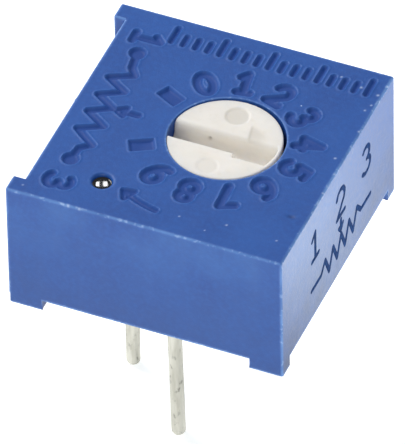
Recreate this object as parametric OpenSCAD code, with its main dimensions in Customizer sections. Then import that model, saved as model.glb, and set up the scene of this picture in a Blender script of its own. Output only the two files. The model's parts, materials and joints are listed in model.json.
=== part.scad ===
// Square single-turn trimmer potentiometer with three wire pins, for a printed circuit board.
// Millimetres. The origin is the middle of the body's outline, on the plane of its feet.
// +X points from the corner posts to the rotor's pointer, +Z up through the rotor's face.

/* [Body] */
// Width and depth of the square body
body_w = 9.53; // [9.4:0.01:12]
// Height of the top face above the board
body_h = 4.95; // [4.6:0.01:6.5]
// Thickness of the side walls around the cavity
wall = 0.75; // [0.6:0.05:0.9]
// Depth of the recess between the posts on the left side
recess_d = 0.41; // [0.2:0.01:0.45]
// Width of each post beside the recess
post_w = 0.69; // [0.5:0.01:1]
// Height of the four corner feet
foot_h = 0.4; // [0.25:0.05:0.6]
// Size of a foot along X
foot_x = 1.156; // [0.8:0.01:1.5]
// Size of a foot along Y
foot_y = 0.59; // [0.4:0.01:0.7]
// How far the left feet stand in from the posts' outer face
foot_inset = 0.05; // [0:0.01:0.1]

/* [Rotor] */
// Distance of the rotor's axis from the middle of the body, along +X
rotor_x = 0.85; // [0.6:0.01:1]
// Radius of the rotor's head, which shows in the top face
head_r = 1.87; // [1.6:0.01:2.3]
// How far the rotor's face lies below the top face
head_sink = 0.05; // [0:0.01:0.15]
// Depth of the screwdriver slot
slot_d = 0.7; // [0.5:0.05:0.75]
// Distance of the slot's near wall from the rotor's axis
slot_near = 0.5; // [0.35:0.01:0.55]
// Distance of the slot's far wall from the rotor's axis
slot_far = 0.25; // [0.2:0.01:0.4]
// How much wider the slot is at its pointer end
pointer_step = 0.18; // [0.1:0.01:0.25]
// Where the slot widens, from the rotor's axis
pointer_start = 0.5; // [0.3:0.01:0.8]
// Wall left between the slot's pointer end and the head's rim
pointer_rim = 0.3; // [0.2:0.01:0.4]
// Radius of the shallow round mark in the rotor's face
mark_r = 0.42; // [0.3:0.01:0.45]
// Depth of the shallow marks in the rotor's face
mark_d = 0.06; // [0.03:0.01:0.1]
// Thickness of the flange under the head
flange_t = 0.62; // [0.5:0.01:0.75]
// How far the stop lug stands out of the flange
lug_out = 0.4; // [0.25:0.01:0.45]
// How far the flange reaches past the seal's seat
flange_lip = 0.16; // [0.1:0.01:0.2]
// Plastic between the bottom of the slot and the height of the seal
slot_floor = 0.12; // [0.08:0.01:0.2]
// Half the angle that the stop lug takes up
lug_half = 10; // [6:1:14]
// Turn of the rotor from its middle to each stop
half_travel = 155; // [140:1:158]

/* [Seal] */
// Thickness of the O-ring, measured from the rotor's head outwards
ring_w = 0.52; // [0.4:0.01:0.6]
// Height of the O-ring as it sits squeezed in its seat
ring_h = 0.56; // [0.45:0.01:0.62]
// Rounding of the O-ring's section
ring_round = 0.2; // [0.1:0.01:0.22]

/* [Substrate and films] */
// Thickness of the ceramic substrate
plate_t = 0.64; // [0.5:0.01:0.8]
// Thickness of the fired films
film_t = 0.03; // [0.02:0.005:0.05]
// Radius of the resistive track's middle line
track_r = 1.825; // [1.6:0.005:1.9]
// Width of the resistive track
track_w = 0.65; // [0.4:0.01:0.8]
// Half the angle that the resistive track spans
track_half = 143; // [125:1:145]
// Angle of each end conductor past the end of the track
bridge_angle = 10; // [6:1:12]
// Width of the end conductors
lead_w = 0.3; // [0.2:0.01:0.4]
// Radius of the wiper collector's disc
disc_r = 0.62; // [0.5:0.01:0.8]
// Width of the wiper collector's strip
strip_w = 0.5; // [0.3:0.01:0.6]

/* [Wiper] */
// Thickness of the wiper's sheet
sheet_t = 0.1; // [0.06:0.01:0.12]
// Radius of the wiper's plate
wiper_r = 1.5; // [1.4:0.01:1.6]
// Width of each of the two outer fingers
finger_w = 0.26; // [0.2:0.01:0.3]
// Gap between the two outer fingers
finger_gap = 0.08; // [0.05:0.01:0.12]
// Height of the sprung fingers, from the films to the wiper's plate
spring_h = 0.47; // [0.4:0.01:0.6]
// Width of the finger for the collector
centre_w = 0.3; // [0.2:0.01:0.4]
// Width of the slits that free the fingers from the plate
slit_w = 0.08; // [0.05:0.01:0.1]
// Where the two outer fingers leave the plate, from the rotor's axis
outer_root = 0.62; // [0.5:0.01:0.7]
// Where the collector's finger leaves the plate, from the rotor's axis
inner_root = 1.15; // [1:0.01:1.2]
// Distance of each heat-staked peg from the rotor's axis
peg_y = 1.0; // [0.9:0.01:1.05]
// Radius of a heat-staked peg
peg_r = 0.15; // [0.12:0.01:0.18]
// Radius of a peg's staked head
stake_r = 0.255; // [0.22:0.005:0.3]
// Height of a peg's staked head
stake_h = 0.1; // [0.06:0.01:0.12]

/* [Terminals] */
// Radius of a terminal pin's wire
pin_r = 0.24; // [0.2:0.01:0.3]
// Grid on which the pins stand
pin_grid = 2.54; // [2.4:0.01:2.6]
// Length of a pin below the plane of the feet
pin_below = 6.1; // [3:0.1:8]
// How far a pin stands above the substrate
pin_above = 0.2; // [0.15:0.01:0.25]
// Radius of a pin's shoulder, which carries the substrate and anchors the pin in the resin
shoulder_r = 0.42; // [0.36:0.01:0.5]
// How far the lower end of the shoulder lies inside the resin
shoulder_in = 0.05; // [0.03:0.01:0.1]
// Width of the solder joint's foot around the pin
solder_w = 0.14; // [0.1:0.01:0.16]

/* [Potting] */
// How far the resin lies above the bottom of the walls
resin_in = 0.15; // [0.05:0.01:0.2]
// Radius of the vent hole, and of the resin that fills it
vent_r = 0.34; // [0.25:0.01:0.4]
// Distance of the vent hole from the middle of the body, towards -X
vent_x = 2.0; // [1.9:0.01:2.2]
// Distance of the vent hole from the middle of the body, towards the front
vent_y = 3.3; // [3.2:0.01:3.4]
// How far the resin in the vent hole lies below the top face
vent_sink = 0.25; // [0.1:0.01:0.4]

/* [Engraved marks] */
// Depth of the engraved marks in the top face
engrave_d = 0.12; // [0.05:0.01:0.2]
// Width of an engraved line
engrave_w = 0.18; // [0.12:0.01:0.25]
// Length of each end-of-travel mark
end_mark_l = 0.75; // [0.6:0.01:0.9]
// Width of each end-of-travel mark
end_mark_w = 0.45; // [0.3:0.01:0.6]
// Distance of the end-of-travel marks from the rotor's axis
end_mark_r = 2.75; // [2.6:0.01:3]
// Distance of the resistor symbol from the middle of the body, towards -X
symbol_x = 3.42; // [3.3:0.01:3.5]
// Half the length of the resistor symbol
symbol_half = 2.7; // [2.4:0.01:2.8]
// Radius of the dots at the symbol's ends
dot_r = 0.27; // [0.2:0.01:0.3]

/* [Clearances] */
// Gap between the rotor's head and the hole in the top face
head_gap = 0.07; // [0.03:0.01:0.1]
// Gap between the O-ring and its seat
seat_gap = 0.05; // [0.03:0.01:0.06]
// Gap between the rotor and the chamber, seat and stop block
chamber_gap = 0.1; // [0.05:0.01:0.12]
// Gap over the rotor's flange
flange_gap = 0.05; // [0.03:0.01:0.08]
// Gap between the O-ring and the rotor's head
ring_gap = 0.01; // [0.01:0.005:0.02]
// Gap between the substrate and the cavity's walls
plate_gap = 0.05; // [0.02:0.01:0.1]
// Gap between a pin and its hole in the substrate, which the solder fills
hole_gap = 0.06; // [0.04:0.01:0.08]
// Gap between the wiper's contacts and the films
contact_gap = 0.02; // [0.01:0.005:0.03]
// Gap between the wiper and the pegs
peg_gap = 0.02; // [0.01:0.005:0.03]
// Ring of film around each pin's hole
pad_ring = 0.1; // [0.06:0.01:0.12]
// Room between the films' pads and the chamber's wall
pad_gap = 0.03; // [0.02:0.005:0.05]
// Room for resin between the vent column and the substrate
notch_gap = 0.11; // [0.05:0.01:0.15]
// Room over the collector's film and around its solder joint
pocket_gap = 0.15; // [0.1:0.01:0.2]
// Angle left between the lug and the block at each stop
stop_gap = 0.5; // [0.2:0.1:1]

/* [Hidden] */
$fn = 96;

// A cut runs past the face it opens by this much.
over = 0.5;

half_w = body_w / 2;
recess_x = -half_w + recess_d;

// Heights, from the top face down to the walls' bottom edge
face_z = body_h - head_sink;
slot_z = face_z - slot_d;
seat_top_z = slot_z - slot_floor;
seat_floor_z = seat_top_z - ring_h - 2 * ring_gap;
flange_top_z = seat_floor_z - flange_gap;
flange_z = flange_top_z - flange_t;
wiper_z = flange_z - sheet_t;
film_z = wiper_z - spring_h;
plate_top_z = film_z - film_t;
plate_z = plate_top_z - plate_t;
resin_z = foot_h + resin_in;
contact_z = film_z + contact_gap;

// Bow at the end of each finger: its radius, and how far it reaches past the contact
bow_r = 0.55;
bow_end = bow_r * sin(24);

// Terminals: number 1 at the back, 2 at the left, 3 at the front
pin_1 = [0, pin_grid];
pin_2 = [-pin_grid, 0];
pin_3 = [0, -pin_grid];
pins = [pin_1, pin_2, pin_3];
pin_hole_r = pin_r + hole_gap;
pin_top_z = plate_top_z + pin_above;
shoulder_z = resin_z + shoulder_in;
pad_r = pin_hole_r + pad_ring;
lead_r = norm([rotor_x, pin_grid]);
lead_angle = atan2(pin_grid, -rotor_x);
pocket_r = pad_r + pocket_gap;
pocket_z = pin_top_z + pocket_gap;
stop_z = max(pocket_z, flange_z - chamber_gap);

// Radii around the rotor's axis
hole_r = head_r + head_gap;
ring_r0 = head_r + ring_gap;
ring_r1 = ring_r0 + ring_w;
seat_r = ring_r1 + seat_gap;
flange_r = seat_r + flange_lip;
lug_r = flange_r + lug_out;
chamber_r = max(lug_r + chamber_gap, lead_r + pad_r + pad_gap);
block_half = 180 - half_travel - lug_half - stop_gap;
block_root = 0.1;
track_r0 = track_r - track_w / 2;
track_r1 = track_r + track_w / 2;

// Cavity under the substrate, and the substrate in it
cavity_x0 = recess_x + wall;
cavity_x1 = half_w - wall;
cavity_y1 = half_w - wall;
plate_x0 = cavity_x0 + plate_gap;
plate_x1 = cavity_x1 - plate_gap;
plate_y1 = cavity_y1 - plate_gap;
notch_r = vent_r + notch_gap;

module at_rotor() translate([rotor_x, 0, 0]) children();

// A block between two corners
module block(low, high) translate(low) cube(high - low);

// A ring sector around the Z axis, from angle a0 to a1, standing on z = 0
module sector(r0, r1, a0, a1, h)
    rotate([0, 0, a0])
    rotate_extrude(angle = a1 - a0)
    translate([r0, 0])
    square([r1 - r0, h]);

// An engraved line with round ends between two points of the top face
module stroke(p, q) {
    run = q - p;
    translate([p.x, p.y, body_h - engrave_d])
    rotate([0, 0, atan2(run.y, run.x)]) {
        translate([0, -engrave_w / 2, 0]) cube([norm(run), engrave_w, engrave_d + over]);
        cylinder(r = engrave_w / 2, h = engrave_d + over);
        translate([norm(run), 0, 0]) cylinder(r = engrave_w / 2, h = engrave_d + over);
    }
}

module stroke_line(points)
    for (i = [1:len(points) - 1]) stroke(points[i - 1], points[i]);

// Resistor symbol: two dots, a zigzag between them and the wiper's arrow
module symbol_marks() {
    swing = 0.38;
    teeth = 8;
    pitch = 0.45;
    zigzag = [for (i = [0:teeth]) [-symbol_x + (i % 2 == 0 ? swing : -swing), (teeth / 2 - i) * pitch]];
    ends = [[-symbol_x, symbol_half], [-symbol_x, symbol_half - 0.55]];
    stroke_line(concat(ends, zigzag, [for (e = [1, 0]) [ends[e].x, -ends[e].y]]));
    for (s = [-1, 1])
        translate([-symbol_x, s * symbol_half, body_h - engrave_d])
        cylinder(r = dot_r, h = engrave_d + over);
    tip = [-symbol_x + swing + 0.12, 0];
    head = [0.36, 0.2];
    stroke(tip + [0.3, 0], tip + [0.8, 0]);
    translate([0, 0, body_h - engrave_d])
    linear_extrude(engrave_d + over)
    polygon([tip, tip + [head.x, -head.y], tip + head]);
}

// The two marks that show where the pointer stops
module end_marks()
    at_rotor()
    for (s = [-1, 1])
        rotate([0, 0, s * half_travel])
        translate([end_mark_r - end_mark_l / 2, -end_mark_w / 2, body_h - engrave_d])
        cube([end_mark_l, end_mark_w, engrave_d + over]);

// One foot, at the corner given by the signs sx and sy
module foot(sx, sy) {
    inset = sx < 0 ? foot_inset : 0;
    x0 = sx < 0 ? -half_w + inset : half_w - foot_x;
    y0 = sy < 0 ? -half_w : half_w - foot_y;
    translate([x0, y0, 0]) cube([foot_x - inset, foot_y, foot_h]);
}

// The blue moulding: square shell, recessed left side, rotor hole, seal seat and chamber
module housing()
    color("#3F64AE") {
        difference() {
            block([-half_w, -half_w, foot_h], [half_w, half_w, body_h]);
            block([-half_w - over, -half_w + post_w, foot_h - over],
                  [recess_x, half_w - post_w, body_h + over]);
            block([cavity_x0, -cavity_y1, foot_h - over], [cavity_x1, cavity_y1, plate_top_z]);
            at_rotor() {
                translate([0, 0, plate_top_z - over])
                cylinder(r = chamber_r, h = seat_floor_z - plate_top_z + over);
                translate([0, 0, seat_floor_z - over])
                cylinder(r = seat_r, h = seat_top_z - seat_floor_z + over);
                cylinder(r = hole_r, h = body_h + over);
            }
            collector_pocket();
            translate([-vent_x, -vent_y, 0]) cylinder(r = vent_r, h = body_h + over);
            symbol_marks();
            end_marks();
        }
        stop_block();
        for (sx = [-1, 1], sy = [-1, 1]) foot(sx, sy);
    }

// Room for the wiper collector's film and for the solder joint at terminal 2
module collector_pocket() {
    translate([pin_2.x, pin_2.y, plate_top_z - over])
    cylinder(r = pocket_r, h = pocket_z - plate_top_z + over);
    block([pin_2.x, -strip_w / 2 - pocket_gap, plate_top_z - over],
          [rotor_x, strip_w / 2 + pocket_gap, film_z + pocket_gap]);
}

// The block in the chamber that the rotor's lug turns against, at the left of the axis
module stop_block()
    at_rotor()
    translate([0, 0, stop_z])
    sector(flange_r + chamber_gap, chamber_r + block_root, 180 - block_half, 180 + block_half,
           seat_floor_z - stop_z);

// The screwdriver slot: open through the rim at the left, wider at the pointer's end
module rotor_slot() {
    end_x = head_r - pointer_rim;
    block([-head_r - over, -slot_near, slot_z], [end_x, slot_far, face_z + over]);
    block([pointer_start, -slot_near - pointer_step, slot_z], [end_x, 0, face_z + over]);
}

// Shallow marks in the rotor's face: a round one from the mould, and the arrow's far flank
module rotor_marks() {
    flank = [pointer_start, 0.95];
    translate([-0.05, 1.17, face_z - mark_d]) cylinder(r = mark_r, h = mark_d + over);
    translate([0, 0, face_z - mark_d])
    linear_extrude(mark_d + over)
    polygon([flank, [flank.x + 0.15, 0], [head_r - pointer_rim, 0], [flank.x + 0.65, flank.y - 0.3]]);
}

// The white moulding: head with the slot, flange with the stop lug, and two pegs for the wiper
module rotor()
    color("#E6E2D8")
    at_rotor() {
        difference() {
            cylinder(r = head_r, h = face_z);
            rotor_slot();
            rotor_marks();
            translate([0, 0, -over]) cylinder(r = head_r + over, h = flange_z + over);
        }
        translate([0, 0, flange_z]) cylinder(r = flange_r, h = flange_t);
        translate([0, 0, flange_z]) sector(head_r, lug_r, -lug_half, lug_half, flange_t);
        for (s = [-1, 1])
            translate([0, s * peg_y, 0]) {
                translate([0, 0, wiper_z - stake_h])
                cylinder(r = peg_r, h = flange_z - wiper_z + 2 * stake_h);
                translate([0, 0, wiper_z - stake_h]) cylinder(r = stake_r, h = stake_h);
            }
    }

// The O-ring as it sits, a rounded rectangle turned around the rotor's axis
module rotor_o_ring()
    color("#2B2B2D")
    at_rotor()
    translate([0, 0, flange_top_z + flange_gap + ring_gap])
    rotate_extrude() {
        translate([ring_r0 + ring_round, 0]) square([ring_w - 2 * ring_round, ring_h]);
        translate([ring_r0, ring_round]) square([ring_w, ring_h - 2 * ring_round]);
        for (x = [ring_r0 + ring_round, ring_r1 - ring_round], y = [ring_round, ring_h - ring_round])
            translate([x, y]) circle(r = ring_round);
    }

// A bent finger: its middle line runs through points [x, z] and it is w wide along Y
module finger(points, y0, w) {
    n = len(points) - 1;
    function dir(i) = let (d = points[min(i + 1, n)] - points[max(i - 1, 0)]) d / norm(d);
    function edge(i, s) = points[i] + s * sheet_t / 2 * [-dir(i).y, dir(i).x];
    outline = concat([for (i = [0:n]) edge(i, 1)], [for (i = [n:-1:0]) edge(i, -1)]);
    translate([0, y0 + w, 0]) rotate([90, 0, 0]) linear_extrude(w) polygon(outline);
}

// Middle line of a finger that leaves the plate at x0 and touches down at x1, on a bow of radius bow_r
function finger_line(x0, x1) =
    let (zc = contact_z + sheet_t / 2, zp = wiper_z + sheet_t / 2)
    concat([[x0 - sheet_t / 2, zp], [x0 + sheet_t / 2, zp]],
           [for (a = [-24:6:24]) [x1 + bow_r * sin(a), zc + bow_r * (1 - cos(a))]]);

// The stamped wiper: a plate with two fingers for the track and one for the collector
module wiper_spring()
    color("#B9A36A")
    at_rotor() {
        pair_w = 2 * finger_w + finger_gap + 2 * slit_w;
        centre_slot_w = centre_w + 2 * slit_w;
        difference() {
            translate([0, 0, wiper_z]) cylinder(r = wiper_r, h = sheet_t);
            for (s = [-1, 1])
                translate([0, s * peg_y, 0]) cylinder(r = peg_r + peg_gap, h = body_h);
            block([outer_root, -pair_w / 2, 0], [wiper_r + over, pair_w / 2, body_h]);
            block([-inner_root, -centre_slot_w / 2, 0], [bow_end + 2 * slit_w, centre_slot_w / 2, body_h]);
        }
        for (y = [finger_gap / 2, -finger_gap / 2 - finger_w])
            finger(finger_line(outer_root, track_r), y, finger_w);
        finger(finger_line(-inner_root, 0), -centre_w / 2, centre_w);
    }

// The alumina plate, with three pin holes and a notch that lets the resin up to the vent
module ceramic_substrate()
    color("#EDEBE4")
    difference() {
        block([plate_x0, -plate_y1, plate_z], [plate_x1, plate_y1, plate_top_z]);
        for (p = pins) translate([p.x, p.y, 0]) cylinder(r = pin_hole_r, h = body_h);
        vent_notch(notch_r, plate_z - over, plate_top_z + over);
    }

// The notch's outline at the vent, open to the front edge, between two heights
module vent_notch(r, z0, z1) {
    translate([-vent_x, -vent_y, z0]) cylinder(r = r, h = z1 - z0);
    block([-vent_x - r, -plate_y1 - over, z0], [-vent_x + r, -vent_y, z1]);
}

module resistive_track()
    color("#3A3A3C")
    at_rotor()
    translate([0, 0, plate_top_z])
    sector(track_r0, track_r1, -track_half, track_half, film_t);

// The film from a pin's pad round to the end of the track, at the back (s = 1) or front (s = -1)
module end_conductor(s)
    color("#C9C5B4") {
        far = track_half + bridge_angle;
        p = [0, s * pin_grid];
        difference() {
            union() {
                translate([p.x, p.y, plate_top_z]) cylinder(r = pad_r, h = film_t);
                at_rotor()
                translate([0, 0, plate_top_z]) {
                    sector(lead_r - lead_w / 2, lead_r + lead_w / 2, min(s * lead_angle, s * far),
                           max(s * lead_angle, s * far), film_t);
                    sector(track_r0, lead_r + lead_w / 2, min(s * track_half, s * far),
                           max(s * track_half, s * far), film_t);
                }
            }
            translate([p.x, p.y, 0]) cylinder(r = pin_hole_r, h = body_h);
        }
    }

// The film from the rotor's axis to terminal 2
module wiper_collector()
    color("#C9C5B4")
    difference() {
        union() {
            translate([rotor_x, 0, plate_top_z]) cylinder(r = disc_r, h = film_t);
            translate([pin_2.x, pin_2.y, plate_top_z]) cylinder(r = pad_r, h = film_t);
            block([pin_2.x, -strip_w / 2, plate_top_z], [rotor_x, strip_w / 2, film_z]);
        }
        translate([pin_2.x, pin_2.y, 0]) cylinder(r = pin_hole_r, h = body_h);
    }

// A tinned wire with a shoulder under the substrate and a chamfered tip
module terminal_pin(p)
    color("#CDCDC8")
    translate([p.x, p.y, 0]) {
        tip = 0.12;
        translate([0, 0, tip - pin_below]) cylinder(r = pin_r, h = pin_top_z + pin_below - tip);
        translate([0, 0, -pin_below]) cylinder(r1 = pin_r - tip, r2 = pin_r, h = tip);
        translate([0, 0, shoulder_z]) cylinder(r = shoulder_r, h = plate_z - shoulder_z);
    }

// Solder in the hole around a pin, with a cone-shaped foot on the film
module solder_joint(p)
    color("#B4B6B8")
    translate([p.x, p.y, 0])
    difference() {
        union() {
            translate([0, 0, plate_z]) cylinder(r = pin_hole_r, h = film_z - plate_z);
            translate([0, 0, film_z])
            cylinder(r1 = pin_r + solder_w, r2 = pin_r + solder_w / 7, h = pin_top_z - film_z);
        }
        cylinder(r = pin_r, h = body_h);
    }

// Cured resin: the slab under the substrate, and the column that rose into the vent hole
module potting_resin()
    color("#15171C")
    difference() {
        union() {
            block([cavity_x0, -cavity_y1, resin_z], [cavity_x1, cavity_y1, plate_z]);
            intersection() {
                vent_notch(notch_r, plate_z - notch_gap, plate_top_z);
                block([cavity_x0, -plate_y1, 0], [cavity_x1, cavity_y1, body_h]);
            }
            translate([-vent_x, -vent_y, plate_z]) cylinder(r = vent_r, h = body_h - vent_sink - plate_z);
        }
        for (p = pins) {
            translate([p.x, p.y, 0]) cylinder(r = pin_r, h = body_h);
            translate([p.x, p.y, shoulder_z]) cylinder(r = shoulder_r, h = plate_z - shoulder_z + over);
        }
    }

housing();
rotor();
rotor_o_ring();
wiper_spring();
ceramic_substrate();
resistive_track();
end_conductor(1);  // end_conductor_1
end_conductor(-1);  // end_conductor_3
wiper_collector();
terminal_pin(pin_1);  // terminal_pin_1
terminal_pin(pin_2);  // terminal_pin_2
terminal_pin(pin_3);  // terminal_pin_3
solder_joint(pin_1);  // solder_joint_1
solder_joint(pin_2);  // solder_joint_2
solder_joint(pin_3);  // solder_joint_3
potting_resin();
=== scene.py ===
# %% [markdown]
# # A square trimmer potentiometer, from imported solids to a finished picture
#
# The real object is a thumbnail-sized electronic part: a blue moulded box 9.5 mm square, with a
# white plastic rotor that a small screwdriver turns, three tinned pins and black resin that seals
# the underside. The engineering model fixes every size and every joint. This notebook gives the
# same pieces the surface that the real ones have: rounded edges, engraved marks, worn corners,
# a dished drop of resin, solder-dipped wire.
#
# Each new piece is a surface worked out with numpy arrays. A surface is a grid of points, and the
# point in row i and column j is a function of two parameters, so one formula moves every point at
# once. The cells below define a formula where it is first needed, then print what they made.

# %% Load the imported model
import json
import bmesh
import bpy
import numpy as np
from mathutils import Matrix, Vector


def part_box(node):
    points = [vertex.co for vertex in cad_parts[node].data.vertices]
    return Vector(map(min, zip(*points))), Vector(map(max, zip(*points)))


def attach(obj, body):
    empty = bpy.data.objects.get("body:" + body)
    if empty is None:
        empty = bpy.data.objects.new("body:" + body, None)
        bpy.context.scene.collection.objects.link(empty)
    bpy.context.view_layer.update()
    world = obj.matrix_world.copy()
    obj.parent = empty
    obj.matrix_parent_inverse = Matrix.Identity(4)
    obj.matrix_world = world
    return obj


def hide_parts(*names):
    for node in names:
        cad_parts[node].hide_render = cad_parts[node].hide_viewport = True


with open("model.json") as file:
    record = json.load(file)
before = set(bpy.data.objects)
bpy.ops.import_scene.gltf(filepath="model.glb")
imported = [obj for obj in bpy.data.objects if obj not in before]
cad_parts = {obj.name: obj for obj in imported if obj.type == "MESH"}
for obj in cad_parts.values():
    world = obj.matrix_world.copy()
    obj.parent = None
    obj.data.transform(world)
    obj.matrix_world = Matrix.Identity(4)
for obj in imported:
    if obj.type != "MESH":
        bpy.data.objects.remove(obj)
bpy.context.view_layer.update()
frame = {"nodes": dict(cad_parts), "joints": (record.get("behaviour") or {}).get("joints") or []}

# %% [markdown]
# ## Millimetres, and the sizes that the solids give
#
# Blender works in metres, and a designer of small parts thinks in millimetres. All arrays below
# are in millimetres, and one constant turns them to metres when a mesh is made. The main sizes
# come from the boxes of the solids, so the looks follow the engineering model. The few that a box
# doesn't give, such as a radius inside the housing, are named here once.

# %% Sizes
MM = 0.001


def box_mm(node):
    """Lowest and highest corner of a solid, in millimetres."""
    return [np.array(corner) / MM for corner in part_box(node)]


half, top_z = box_mm("housing")[1][[0, 2]]
face_z = box_mm("rotor")[1][2]
resin_low, resin_high = box_mm("potting_resin")
plate_low, plate_high = box_mm("ceramic_substrate")
pin_low, pin_high = box_mm("terminal_pin_1")
axis = np.array([frame["joints"][0]["pos_m"][k] / MM for k in (0, 1)])
pins = {k: sum(box_mm(f"terminal_pin_{k}"))[:2] / 2 for k in (1, 2, 3)}

recess_x = -4.355      # wall of the recess between the two left posts
post_y = 4.075         # inner side of each post
foot_x, foot_y = 3.609, 4.175   # inner corner of each foot
foot_left = -4.715     # outer side of the left feet
wall_z = 0.4           # bottom edge of the walls, top of the feet
wall_t = 0.75          # thickness of the walls round the cavity
head_r = 1.87          # rotor's head
seat_r, seat_top, seat_floor = 2.45, 4.08, 3.50      # the O-ring's seat
chamber_r = 3.11       # the chamber in which the stop lug turns
flange_r, flange_top, lug_r = 2.61, 3.45, 3.01       # rotor's flange and stop lug
vent = np.array([-2.03, -3.28])      # a hair to the left of the solid's and behind it, as moulded
print("half width", half.round(3), "top", top_z.round(3), "axis", axis, "pins", pins)

# %% [markdown]
# ## From arrays to meshes
#
# A surface on a grid becomes quads that join each point to its neighbours. Grids that meet share
# their edge points, and welding points that lie in one place makes one closed skin of them. The
# other way would be Blender's own tools, such as bevels and booleans, but they leave long thin
# faces where an engraved line crosses an edge. With a grid the faces stay even, and the engraving
# is only a change of height.

# %% Mesh helpers
WELD = 2e-7            # metres; points closer than this are one point


def add_object(name, data):
    """Puts a mesh, a camera or a light into the scene under a name."""
    made = bpy.data.objects.new(name, data)
    bpy.context.scene.collection.objects.link(made)
    return made


def grid_faces(rows, columns, closed=False, first=0):
    """Quads (i, j), (i, j+1), (i+1, j+1), (i+1, j) of a grid numbered row by row; closed joins
    the last column to the first."""
    i, j = np.meshgrid(np.arange(rows - 1), np.arange(columns if closed else columns - 1),
                       indexing="ij")
    a = first + i * columns + j
    b = first + i * columns + (j + 1) % columns
    return np.stack([a, b, b + columns, a + columns], -1).reshape(-1, 4)


def finish_piece(name, points, faces, material, body, slot, nodes, attributes=None, crease=40):
    """Makes one object of a point array and a list of face arrays, welds it, turns its faces
    outward, smooths it up to the crease angle, and hangs it on its body in place of its solids."""
    mesh = bpy.data.meshes.new(name)
    mesh.from_pydata((points * MM).tolist(), [], [f for block in faces for f in block.tolist()])
    for key, values in (attributes or {}).items():
        layer = mesh.attributes.new(key, "FLOAT", "POINT")
        layer.data.foreach_set("value", values.astype(np.float32))
    work = bmesh.new()
    work.from_mesh(mesh)
    bmesh.ops.remove_doubles(work, verts=work.verts, dist=WELD)
    bmesh.ops.dissolve_degenerate(work, edges=work.edges, dist=WELD)
    loose = [v for v in work.verts if not v.link_faces]
    bmesh.ops.delete(work, geom=loose, context="VERTS")
    bmesh.ops.recalc_face_normals(work, faces=work.faces)
    if work.calc_volume(signed=True) < 0:
        bmesh.ops.reverse_faces(work, faces=work.faces)
    open_edges = sum(len(e.link_faces) != 2 for e in work.edges)
    triangles = sum(len(f.verts) - 2 for f in work.faces)
    work.to_mesh(mesh)
    work.free()
    mesh.polygons.foreach_set("use_smooth", np.ones(len(mesh.polygons), bool))
    mesh.set_sharp_from_angle(angle=np.radians(crease))
    mesh.materials.append(material)
    obj = add_object(name, mesh)
    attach(obj, body)
    if nodes:
        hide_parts(*nodes)
    print(f"{name}: {triangles} triangles, {open_edges} open edges")


print("points within", round(WELD / MM, 5), "mm of each other are welded")

# %% [markdown]
# ## The camera
#
# Small parts are shot from far off with a long lens, so that parallel edges stay nearly parallel.
# The camera stands 360 mm away, looks down 43 degrees from the front and a little from the right,
# and its own three axes are worked out from the two angles and a slight roll.

# %% Camera
view_azimuth, view_elevation, view_roll = np.radians([23.49, 43.06, -1.13])
view_distance = 360.44
view_centre = np.array([0, 0, 2.4])
view_slide = np.array([-0.025, 1.019])      # how far the picture is slid right and up
frame_height, frame_focal = 444, 11204      # the frame's height and the focal length, in its dots
sensor = 36.0


def placed_matrix(axes, place_mm):
    """The 4 by 4 matrix with the three axes as its columns, and a place in millimetres."""
    return Matrix([[*axes[:, k], place_mm[k] * MM] for k in range(3)] + [[0, 0, 0, 1]])


sin_a, cos_a = np.sin(view_azimuth), np.cos(view_azimuth)
sin_e, cos_e = np.sin(view_elevation), np.cos(view_elevation)
back = np.array([sin_a * cos_e, -cos_a * cos_e, sin_e])
right = np.array([cos_a, sin_a, 0])
up = np.cross(back, right)
sin_r, cos_r = np.sin(view_roll), np.cos(view_roll)
camera_axes = np.array([cos_r * right + sin_r * up, cos_r * up - sin_r * right, back])
place = view_centre + view_distance * back - view_slide @ camera_axes[:2]

camera = add_object("studio_camera", bpy.data.cameras.new("studio_camera"))
camera.data.sensor_width = sensor
camera.data.lens = frame_focal * sensor / frame_height
camera.matrix_world = placed_matrix(camera_axes, place)
bpy.context.scene.camera = camera
print("camera at", place.round(1), "mm, lens", round(camera.data.lens, 1), "mm")

# %% [markdown]
# ## Colours and shader nodes
#
# A colour given as a hex value is an sRGB value, while the shader works in linear light, so one
# function turns a hex value to linear. A second one adds a shader node with its settings and links
# and gives back its output, so that a material reads as a list of steps. A pattern's scale is the
# number of its features in a metre, so it is worked out from the size of one feature in
# millimetres.
#
# All finishes here are built alike: cloudy patterns of several sizes, numbers that the mesh
# carries, thin layers of colour over a base, and bumps upon bumps. So four more functions open a
# material with its patterns, find where several reasons for a stain meet, lay the layers, and
# close the material with its shader.

# %% Material helpers
MIX = {"data_type": "RGBA", "out": 2}       # a mix of two colours: sockets 0 factor, 6 and 7
FACTOR = 2                                  # output of an Attribute node that holds one number


def linear(hex_value):
    """sRGB hex to linear RGBA: c/12.92 below 0.04045, else ((c + 0.055)/1.055)^2.4."""
    c = np.array([int(hex_value[k:k + 2], 16) for k in (1, 3, 5)]) / 255
    c = np.where(c <= 0.04045, c / 12.92, ((c + 0.055) / 1.055) ** 2.4)
    return (*c, 1)


def per_metre(feature_mm):
    """Scale of a pattern whose features are that many millimetres apart."""
    return 1 / (feature_mm * MM)


def add_node(material, kind, inputs, out=0, **settings):
    """Adds a node of that kind and returns one of its outputs. Settings are its properties;
    inputs are its sockets' values, or the outputs that are linked to them, by name or number."""
    tree = material.node_tree
    made = tree.nodes.new("ShaderNode" + kind)
    for key, value in settings.items():
        setattr(made, key, value)
    for key, value in inputs.items():
        if isinstance(value, bpy.types.NodeSocket):
            tree.links.new(value, made.inputs[key])
        else:
            made.inputs[key].default_value = value
    return made.outputs[out] if made.outputs else None


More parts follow.
